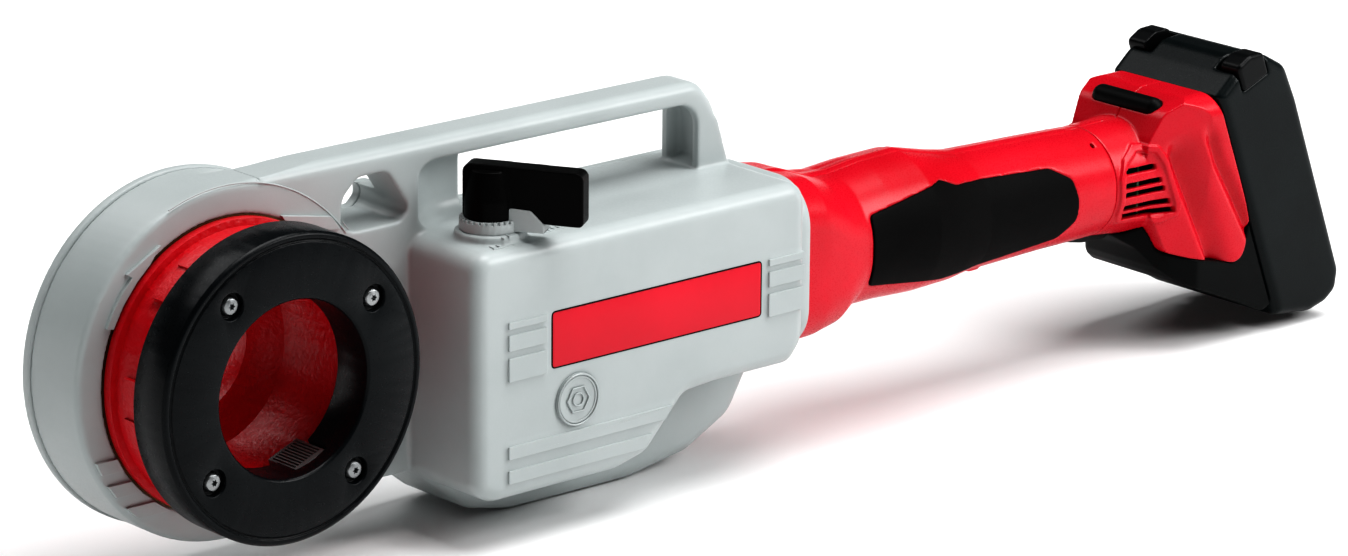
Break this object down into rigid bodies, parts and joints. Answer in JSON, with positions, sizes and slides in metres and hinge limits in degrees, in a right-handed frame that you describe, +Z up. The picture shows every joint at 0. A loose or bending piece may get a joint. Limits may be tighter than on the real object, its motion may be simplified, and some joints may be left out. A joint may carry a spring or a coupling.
{
  "type": "cordless pipe threading machine",
  "caption": "Hand-held battery drive that turns a die head to thread pipe: cast gearbox with ring and carrying handle, red motor barrel with paddle switch, battery on a canted tail.",
  "frame": {"origin": "on the axis of the die-head bore, at the middle plane of the gearbox", "axes": "+X from the threading head towards the battery, +Y from the front (die-head) side to the back, +Z up when the machine is held level by its handle"},
  "size_m": [0.7933, 0.1078, 0.1895],
  "materials": {
    "cast_body": "painted light grey, smooth cast",
    "cover_screw_steel": "zinc plated",
    "label_red": "satin",
    "medallion_metal": "satin",
    "ring_red": "rough cast, painted",
    "flange_black": "satin black",
    "screw_steel": "bright",
    "latch_black": "matt",
    "spring_steel": "drawn wire",
    "bush_bronze": "machined bronze",
    "gear_steel": "ground",
    "bearing_steel": "polished",
    "adapter_aluminium": "die cast",
    "stator_steel": "laminated",
    "winding_copper": "enamelled copper",
    "fan_plastic": "matt",
    "housing_red": "satin gloss",
    "grip_rubber": "matt, fine texture",
    "foot_rubber": "matt",
    "paddle_black": "matt",
    "switch_plastic": "matt",
    "lead_insulation": "matt",
    "board_green": "solder mask",
    "terminal_plastic": "matt",
    "contact_copper": "plated",
    "battery_black": "fine matt",
    "button_black": "matt",
    "cell_wrap": "shrink wrap",
    "knob_black": "satin",
    "collar_grey": "satin"
  },
  "bodies": {
    "machine": {"gear_case": "cast_body", "rear_cover": "cast_body", "cover_screws": "cover_screw_steel", "label_plate": "label_red", "medallion": "medallion_metal", "ring_bush_front": "bush_bronze", "ring_bush_rear": "bush_bronze", "idler_pin": "gear_steel", "cross_shaft_bearings": "bearing_steel", "pinion_bearings": "bearing_steel", "motor_adapter": "adapter_aluminium", "fixed_ring_gear": "gear_steel", "stator_core": "stator_steel", "stator_windings": "winding_copper", "motor_front_plate": "adapter_aluminium", "motor_rear_plate": "adapter_aluminium", "motor_bearings": "bearing_steel", "soft_grip_near": "grip_rubber", "soft_grip_far": "grip_rubber", "motor_housing_near": "housing_red", "motor_housing_far": "housing_red", "paddle_pin": "screw_steel", "paddle_spring": "spring_steel", "switch_block": "switch_plastic", "motor_leads": "lead_insulation", "control_board": "board_green", "top_bumper": "foot_rubber", "tail_shell_near": "housing_red", "tail_shell_far": "housing_red", "housing_screws": "screw_steel", "tail_foot": "foot_rubber", "terminal_block": "terminal_plastic", "contact_blades": "contact_copper", "reversing_switch": "switch_plastic", "detent_ball": "bearing_steel"},
    "drive_ring": {"drive_ring": "ring_red", "die_flange": "flange_black", "flange_screws": "screw_steel", "latch_spring": "spring_steel"},
    "latch": {"latch": "latch_black"},
    "idler": {"idler_gear": "gear_steel", "idler_bush": "bush_bronze"},
    "cross_shaft": {"cross_shaft": "gear_steel", "bevel_gear": "gear_steel"},
    "pinion": {"bevel_pinion": "gear_steel", "planet_carrier": "gear_steel"},
    "planet_1": {"planet_gear_1": "gear_steel"},
    "planet_2": {"planet_gear_2": "gear_steel"},
    "planet_3": {"planet_gear_3": "gear_steel"},
    "rotor": {"rotor": "stator_steel", "cooling_fan": "fan_plastic"},
    "selector": {"direction_knob": "knob_black", "knob_collar": "collar_grey", "selector_shaft": "gear_steel"},
    "paddle": {"paddle_switch": "paddle_black"},
    "battery": {"battery_case": "battery_black", "battery_cells": "cell_wrap", "pack_contacts": "contact_copper"},
    "button_near": {"release_button_near": "button_black"},
    "button_far": {"release_button_far": "button_black"}
  },
  "joints": [
    {"name": "drive_ring_spin", "type": "hinge", "parent": "machine", "child": "drive_ring", "pos_m": [0, 0, 0], "axis": [0, 1, 0], "continuous": true},
    {"name": "latch_slide", "type": "slide", "parent": "drive_ring", "child": "latch", "axis": [0.3746, 0, -0.9272], "range_m": [0, 0.004], "stiffness_N_per_m": 500, "springref_m": -0.003, "deforming": ["latch_spring"]},
    {"name": "idler_spin", "type": "hinge", "parent": "machine", "child": "idler", "pos_m": [0.11958, 0.02, -0.01], "axis": [0, 1, 0], "continuous": true},
    {"name": "cross_shaft_spin", "type": "hinge", "parent": "machine", "child": "cross_shaft", "pos_m": [0.17508, 0, -0.01], "axis": [0, 1, 0], "continuous": true},
    {"name": "pinion_spin", "type": "hinge", "parent": "machine", "child": "pinion", "pos_m": [0.27, 0, -0.01], "axis": [1, 0, 0], "continuous": true},
    {"name": "rotor_spin", "type": "hinge", "parent": "machine", "child": "rotor", "pos_m": [0.38, 0, -0.01], "axis": [1, 0, 0], "continuous": true},
    {"name": "planet_1_spin", "type": "hinge", "parent": "pinion", "child": "planet_1", "pos_m": [0.331, 0, 0.0044], "axis": [1, 0, 0], "continuous": true},
    {"name": "planet_2_spin", "type": "hinge", "parent": "pinion", "child": "planet_2", "pos_m": [0.331, -0.01247, -0.0172], "axis": [1, 0, 0], "continuous": true},
    {"name": "planet_3_spin", "type": "hinge", "parent": "pinion", "child": "planet_3", "pos_m": [0.331, 0.01247, -0.0172], "axis": [1, 0, 0], "continuous": true},
    {"name": "direction_knob_turn", "type": "hinge", "parent": "machine", "child": "selector", "pos_m": [0.134, -0.021, 0.05], "axis": [0, 0, 1], "range_deg": [-45, 45]},
    {"name": "paddle_press", "type": "hinge", "parent": "machine", "child": "paddle", "pos_m": [0.457, 0, -0.033], "axis": [0, -1, 0], "range_deg": [0, 2.2], "stiffness_Nm_per_rad": 0.8, "springref_deg": -4.58, "deforming": ["paddle_spring"]},
    {"name": "battery_slide", "type": "slide", "parent": "machine", "child": "battery", "axis": [-0.3697, 0, 0.9291], "range_m": [0, 0.11]},
    {"name": "release_button_near_press", "type": "slide", "parent": "battery", "child": "button_near", "axis": [0, 1, 0], "range_m": [0, 0.0025], "stiffness_N_per_m": 600, "springref_m": -0.002},
    {"name": "release_button_far_press", "type": "slide", "parent": "battery", "child": "button_far", "axis": [0, -1, 0], "range_m": [0, 0.0025], "stiffness_N_per_m": 600, "springref_m": -0.002}
  ],
  "couplings": [
    {"joint": "idler_spin", "follows": "drive_ring_spin", "ratio": -1.5806},
    {"joint": "cross_shaft_spin", "follows": "drive_ring_spin", "ratio": 8.1667},
    {"joint": "pinion_spin", "follows": "drive_ring_spin", "ratio": 27.222},
    {"joint": "rotor_spin", "follows": "drive_ring_spin", "ratio": 163.33},
    {"joint": "planet_1_spin", "follows": "drive_ring_spin", "ratio": -68.056},
    {"joint": "planet_2_spin", "follows": "drive_ring_spin", "ratio": -68.056},
    {"joint": "planet_3_spin", "follows": "drive_ring_spin", "ratio": -68.056}
  ]
}
